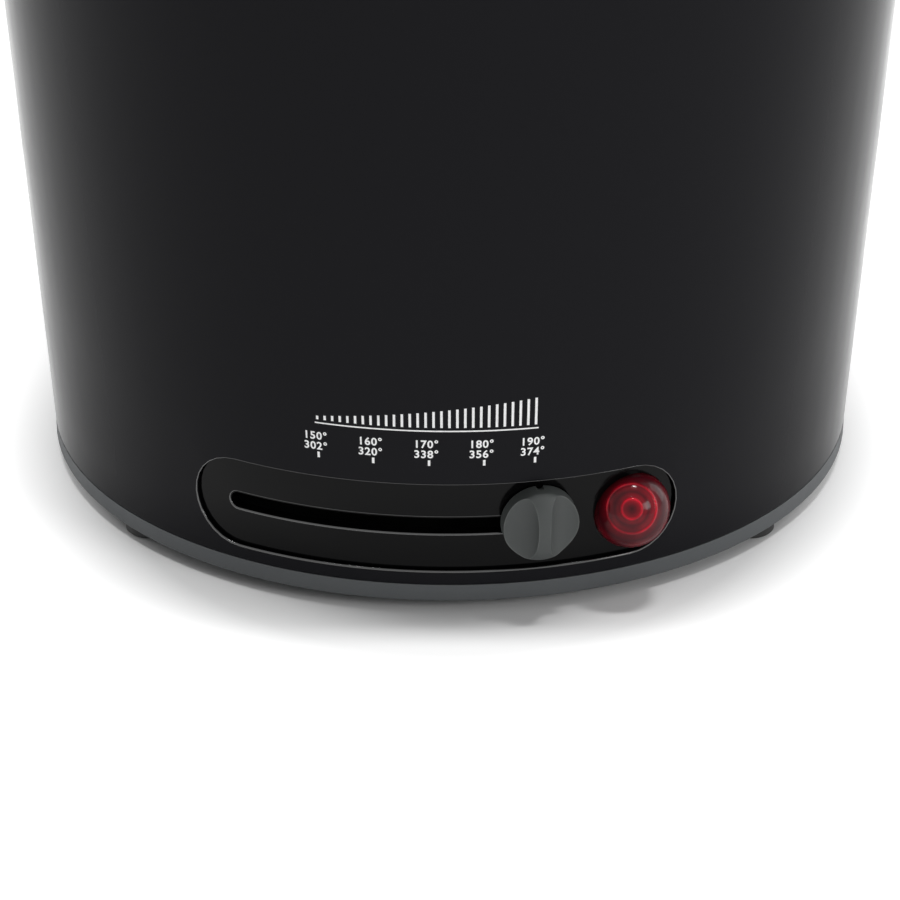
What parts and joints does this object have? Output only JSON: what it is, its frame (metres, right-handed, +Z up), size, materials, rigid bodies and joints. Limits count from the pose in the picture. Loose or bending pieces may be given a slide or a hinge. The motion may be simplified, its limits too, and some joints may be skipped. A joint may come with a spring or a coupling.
{
  "type": "deep fryer",
  "caption": "Oblong household deep fryer with a leaning gloss wall, hinged windowed lid, wire basket with folding handle, and a thermostat slider and pilot lamp on a curved front panel.",
  "frame": {"origin": "on the table, under the middle of the outer box of the fryer standing with its lid open", "axes": "+Z up; -Y to the front with the control panel; +X to the user's right"},
  "size_m": [0.2838, 0.3991, 0.5623],
  "materials": {
    "black_gloss": "high gloss moulded",
    "panel_black": "gloss moulded",
    "black_matt": "fine matt grain",
    "grey_matt": "matt moulded",
    "knob_grey": "matt moulded",
    "white_plastic": "moulded heat-proof",
    "lens_red": "translucent moulded",
    "rubber_black": "matt",
    "rubber_grey": "satin silicone",
    "glass_clear": "clear",
    "bowl_coating": "dark non-stick coating",
    "liner_aluminium": "satin",
    "filter_fibre": "fibre mat",
    "steel": "brushed",
    "steel_wire": "bright plated wire"
  },
  "bodies": {
    "fryer_body": {"housing": "black_gloss", "base_plate": "grey_matt", "feet": "rubber_black", "base_screws": "steel", "control_panel": "panel_black", "lamp_lens": "lens_red", "lamp_holder": "white_plastic", "neon_lamp": "glass_clear", "thermostat_body": "white_plastic", "bowl": "bowl_coating", "bowl_gasket": "rubber_grey", "heating_element": "steel", "heat_shield": "liner_aluminium", "tie_spacers": "white_plastic", "tie_stud": "steel", "tie_nut": "steel", "thermal_fuse": "white_plastic", "terminal_block": "white_plastic", "cord_outlet": "black_matt", "cord_gland": "rubber_black", "grip_cup_right": "black_matt", "grip_cup_left": "black_matt", "hinge_bracket": "black_matt", "hinge_pin": "steel", "hinge_screws": "steel"},
    "slider": {"slider_knob": "knob_grey", "slider_carriage": "black_matt", "thermostat_lever": "steel", "thermostat_spindle": "steel"},
    "lid": {"lid_shell": "black_gloss", "lid_liner": "liner_aluminium", "lid_seal": "rubber_grey", "liner_screws": "steel", "window_gasket": "rubber_grey", "lid_window": "glass_clear", "window_frame": "black_matt", "filter_duct": "black_matt", "filter_pack": "filter_fibre", "latch_pin": "steel"},
    "latch": {"latch_rocker": "grey_matt"},
    "vent_cover": {"filter_cover": "black_matt"},
    "basket_unit": {"basket_floor": "steel_wire", "basket_wall": "steel_wire", "basket_rim": "steel_wire", "handle_bracket": "steel", "bracket_rivets": "steel", "handle_pin": "steel"},
    "handle": {"handle_arm": "steel", "grip_upper": "black_matt", "grip_lower": "black_matt", "grip_screws": "steel"},
    "release_button": {"handle_button": "grey_matt"}
  },
  "joints": [
    {"name": "thermostat_slider", "type": "hinge", "parent": "fryer_body", "child": "slider", "pos_m": [0, -0.05775, 0.03], "axis": [0, 0, 1], "range_deg": [-40.76, 0]},
    {"name": "lid_hinge", "type": "hinge", "parent": "fryer_body", "child": "lid", "pos_m": [0, 0.15464, 0.208], "axis": [-1, 0, 0], "range_deg": [-90, 0]},
    {"name": "lid_latch", "type": "hinge", "parent": "lid", "child": "latch", "pos_m": [0, 0.15864, 0.55114], "axis": [-1, 0, 0], "range_deg": [0, 7], "stiffness_Nm_per_rad": 0.5},
    {"name": "vent_cover_pull", "type": "slide", "parent": "lid", "child": "vent_cover", "axis": [0, 1, 0], "range_m": [0, 0.03]},
    {"name": "basket_lift", "type": "slide", "parent": "fryer_body", "child": "basket_unit", "axis": [0, 0, 1], "range_m": [0, 0.16]},
    {"name": "handle_fold", "type": "hinge", "parent": "basket_unit", "child": "handle", "pos_m": [0, -0.15775, 0.203], "axis": [1, 0, 0], "range_deg": [0, 179]},
    {"name": "button_press", "type": "slide", "parent": "handle", "child": "release_button", "axis": [0, 0.2419, 0.9703], "range_m": [0, 0.0025], "stiffness_N_per_m": 400}
  ]
}
